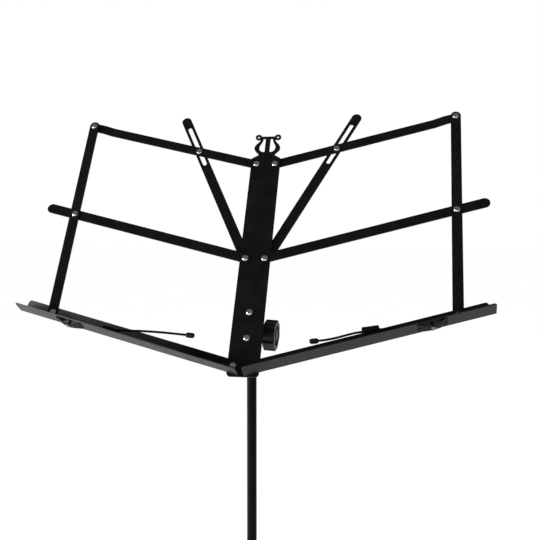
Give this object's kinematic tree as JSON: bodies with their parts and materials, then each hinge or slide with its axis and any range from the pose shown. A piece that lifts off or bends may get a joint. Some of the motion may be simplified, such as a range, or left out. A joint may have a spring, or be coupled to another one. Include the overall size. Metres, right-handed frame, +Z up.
{
  "type": "music stand",
  "caption": "Folding sheet-metal music stand: spine with two hinged wings of flat bars and a bent shelf, clamped tilt, telescopic shaft and folding tripod.",
  "frame": {"origin": "on the floor, under the axis of the shaft", "axes": "+Z up, -Y towards the musician, +X to the musician's right"},
  "size_m": [0.522, 0.4543, 0.9119],
  "materials": {
    "powder_coat": "satin",
    "tube_enamel": "satin",
    "nickel": "polished",
    "black_plastic": "matte",
    "rubber": "matte",
    "nylon": "satin",
    "vinyl": "gloss",
    "wire": "satin",
    "spring_steel": "satin",
    "cast_zinc": "satin"
  },
  "bodies": {
    "base": {"lower_tube": "tube_enamel", "base_plug": "rubber", "hub": "black_plastic", "hub_pins": "nickel", "lower_clamp": "black_plastic"},
    "lower_screw": {"lower_clamp_screw": "black_plastic"},
    "runner": {"runner": "black_plastic"},
    "runner_screw": {"runner_screw": "black_plastic"},
    "middle": {"middle_tube": "tube_enamel", "middle_bushing": "nylon", "middle_clamp": "black_plastic"},
    "middle_screw": {"middle_clamp_screw": "black_plastic"},
    "upper": {"upper_tube": "tube_enamel", "upper_bushing": "nylon", "tilt_head": "cast_zinc"},
    "desk": {"spine": "powder_coat", "tilt_bracket": "powder_coat", "tilt_nut": "nickel", "bracket_rivets": "nickel", "ledge_pivot_rivets": "nickel", "middle_pivot_rivets": "nickel", "top_pivot_rivets": "nickel", "brace_spacers": "nickel"},
    "tilt_knob": {"tilt_knob": "black_plastic", "tilt_stud": "nickel"},
    "leg_1_link": {"leg_1_link": "tube_enamel"},
    "leg_1": {"leg_1": "tube_enamel", "leg_1_rivets": "nickel", "foot_1": "rubber"},
    "leg_2_link": {"leg_2_link": "tube_enamel"},
    "leg_2": {"leg_2": "tube_enamel", "leg_2_rivets": "nickel", "foot_2": "rubber"},
    "leg_3_link": {"leg_3_link": "tube_enamel"},
    "leg_3": {"leg_3": "tube_enamel", "leg_3_rivets": "nickel", "foot_3": "rubber"},
    "ledge_left": {"ledge_left": "powder_coat", "holder_clip_left": "spring_steel", "holder_rivet_left": "nickel"},
    "middle_arm_left": {"middle_arm_left": "powder_coat"},
    "top_arm_left": {"top_arm_left": "powder_coat", "slot_stud_left": "nickel"},
    "desk_strut_left": {"desk_strut_left": "powder_coat", "strut_rivets_left": "nickel"},
    "brace_left": {"brace_left": "powder_coat"},
    "holder_left": {"holder_wire_left": "wire", "holder_tip_left": "vinyl"},
    "ledge_right": {"ledge_right": "powder_coat", "holder_clip_right": "spring_steel", "holder_rivet_right": "nickel"},
    "middle_arm_right": {"middle_arm_right": "powder_coat"},
    "top_arm_right": {"top_arm_right": "powder_coat", "slot_stud_right": "nickel"},
    "desk_strut_right": {"desk_strut_right": "powder_coat", "strut_rivets_right": "nickel"},
    "brace_right": {"brace_right": "powder_coat"},
    "holder_right": {"holder_wire_right": "wire", "holder_tip_right": "vinyl"}
  },
  "joints": [
    {"name": "middle_tube_slide", "type": "slide", "parent": "base", "child": "middle", "axis": [0, 0, -1], "range_m": [-0.18, 0.058]},
    {"name": "upper_tube_slide", "type": "slide", "parent": "middle", "child": "upper", "axis": [0, 0, -1], "range_m": [-0.07, 0.18]},
    {"name": "lower_clamp_turn", "type": "hinge", "parent": "base", "child": "lower_screw", "pos_m": [0, 0, 0.35], "axis": [1, 0, 0], "range_deg": [0, 360]},
    {"name": "middle_clamp_turn", "type": "hinge", "parent": "middle", "child": "middle_screw", "pos_m": [0, 0, 0.44], "axis": [1, 0, 0], "range_deg": [0, 360]},
    {"name": "runner_screw_turn", "type": "hinge", "parent": "runner", "child": "runner_screw", "pos_m": [0, 0, 0.15104], "axis": [0.866, 0.5, 0], "range_deg": [0, 360]},
    {"name": "desk_tilt", "type": "hinge", "parent": "upper", "child": "desk", "pos_m": [0, 0, 0.6757], "axis": [1, 0, 0], "range_deg": [-50, 25]},
    {"name": "tilt_knob_turn", "type": "hinge", "parent": "desk", "child": "tilt_knob", "pos_m": [0, 0, 0.6757], "axis": [1, 0, 0], "range_deg": [0, 360]},
    {"name": "tripod_fold", "type": "hinge", "parent": "base", "child": "leg_1_link", "pos_m": [0, 0.017, 0.03367], "axis": [1, 0, 0], "range_deg": [0, 58]},
    {"name": "leg_1_knee", "type": "hinge", "parent": "leg_1_link", "child": "leg_1", "pos_m": [0, 0.12737, 0.09235], "axis": [-1, 0, 0], "range_deg": [0, 116]},
    {"name": "leg_2_link_fold", "type": "hinge", "parent": "base", "child": "leg_2_link", "pos_m": [-0.01472, -0.0085, 0.03367], "axis": [-0.5, 0.866, 0], "range_deg": [0, 58]},
    {"name": "leg_2_knee", "type": "hinge", "parent": "leg_2_link", "child": "leg_2", "pos_m": [-0.1103, -0.06368, 0.09235], "axis": [0.5, -0.866, 0], "range_deg": [0, 116]},
    {"name": "leg_3_link_fold", "type": "hinge", "parent": "base", "child": "leg_3_link", "pos_m": [0.01472, -0.0085, 0.03367], "axis": [-0.5, -0.866, 0], "range_deg": [0, 58]},
    {"name": "leg_3_knee", "type": "hinge", "parent": "leg_3_link", "child": "leg_3", "pos_m": [0.1103, -0.06368, 0.09235], "axis": [0.5, 0.866, 0], "range_deg": [0, 116]},
    {"name": "runner_slide", "type": "slide", "parent": "base", "child": "runner", "axis": [0, 0, 1], "range_m": [0, 0.13203]},
    {"name": "wing_left_fold", "type": "hinge", "parent": "desk", "child": "ledge_left", "pos_m": [-0.0102, -0.0443, 0.65], "axis": [0, 0.8536, -0.521], "range_deg": [-11.35, 60.65]},
    {"name": "middle_arm_left_turn", "type": "hinge", "parent": "desk", "child": "middle_arm_left", "pos_m": [-0.0102, 0.01848, 0.75285], "axis": [0, 0.8536, -0.521], "range_deg": [-11.35, 60.65]},
    {"name": "top_arm_left_turn", "type": "hinge", "parent": "desk", "child": "top_arm_left", "pos_m": [-0.0102, 0.08116, 0.85554], "axis": [0, 0.8536, -0.521], "range_deg": [-11.35, 60.65]},
    {"name": "brace_left_turn", "type": "hinge", "parent": "desk", "child": "brace_left", "pos_m": [-0.0102, 0.01848, 0.75285], "axis": [0, 0.8536, -0.521], "range_deg": [-3.8, 20.32]},
    {"name": "desk_strut_left_turn", "type": "hinge", "parent": "ledge_left", "child": "desk_strut_left", "pos_m": [-0.20692, -0.01616, 0.69609], "axis": [0, 0.8536, -0.521], "range_deg": [-60.65, 11.35]},
    {"name": "page_holder_left", "type": "hinge", "parent": "ledge_left", "child": "holder_left", "pos_m": [-0.18165, -0.03085, 0.69122], "axis": [-0.2647, -0.5024, -0.8231], "range_deg": [0, 80]},
    {"name": "wing_right_fold", "type": "hinge", "parent": "desk", "child": "ledge_right", "pos_m": [0.0102, -0.0443, 0.65], "axis": [0, -0.8536, 0.521], "range_deg": [-12.65, 59.35]},
    {"name": "middle_arm_right_turn", "type": "hinge", "parent": "desk", "child": "middle_arm_right", "pos_m": [0.0102, 0.01848, 0.75285], "axis": [0, -0.8536, 0.521], "range_deg": [-12.65, 59.35]},
    {"name": "top_arm_right_turn", "type": "hinge", "parent": "desk", "child": "top_arm_right", "pos_m": [0.0102, 0.08116, 0.85554], "axis": [0, -0.8536, 0.521], "range_deg": [-12.65, 59.35]},
    {"name": "brace_right_turn", "type": "hinge", "parent": "desk", "child": "brace_right", "pos_m": [0.0102, 0.01848, 0.75285], "axis": [0, -0.8536, 0.521], "range_deg": [-4.24, 19.88]},
    {"name": "desk_strut_right_turn", "type": "hinge", "parent": "ledge_right", "child": "desk_strut_right", "pos_m": [0.20565, -0.01385, 0.69989], "axis": [0, -0.8536, 0.521], "range_deg": [-59.35, 12.65]},
    {"name": "page_holder_right", "type": "hinge", "parent": "ledge_right", "child": "holder_right", "pos_m": [0.18031, -0.02788, 0.69525], "axis": [-0.2844, 0.5995, 0.7482], "range_deg": [0, 80]}
  ],
  "couplings": [
    {"joint": "leg_1_knee", "follows": "tripod_fold", "ratio": 2},
    {"joint": "leg_2_link_fold", "follows": "tripod_fold", "ratio": 1},
    {"joint": "leg_2_knee", "follows": "tripod_fold", "ratio": 2},
    {"joint": "leg_3_link_fold", "follows": "tripod_fold", "ratio": 1},
    {"joint": "leg_3_knee", "follows": "tripod_fold", "ratio": 2},
    {"joint": "runner_slide", "follows": "tripod_fold", "m_per_rad": 0.13042},
    {"joint": "middle_arm_left_turn", "follows": "wing_left_fold", "ratio": 1},
    {"joint": "top_arm_left_turn", "follows": "wing_left_fold", "ratio": 1},
    {"joint": "brace_left_turn", "follows": "wing_left_fold", "ratio": 0.335},
    {"joint": "desk_strut_left_turn", "follows": "wing_left_fold", "ratio": -1},
    {"joint": "middle_arm_right_turn", "follows": "wing_right_fold", "ratio": 1},
    {"joint": "top_arm_right_turn", "follows": "wing_right_fold", "ratio": 1},
    {"joint": "brace_right_turn", "follows": "wing_right_fold", "ratio": 0.335},
    {"joint": "desk_strut_right_turn", "follows": "wing_right_fold", "ratio": -1}
  ]
}
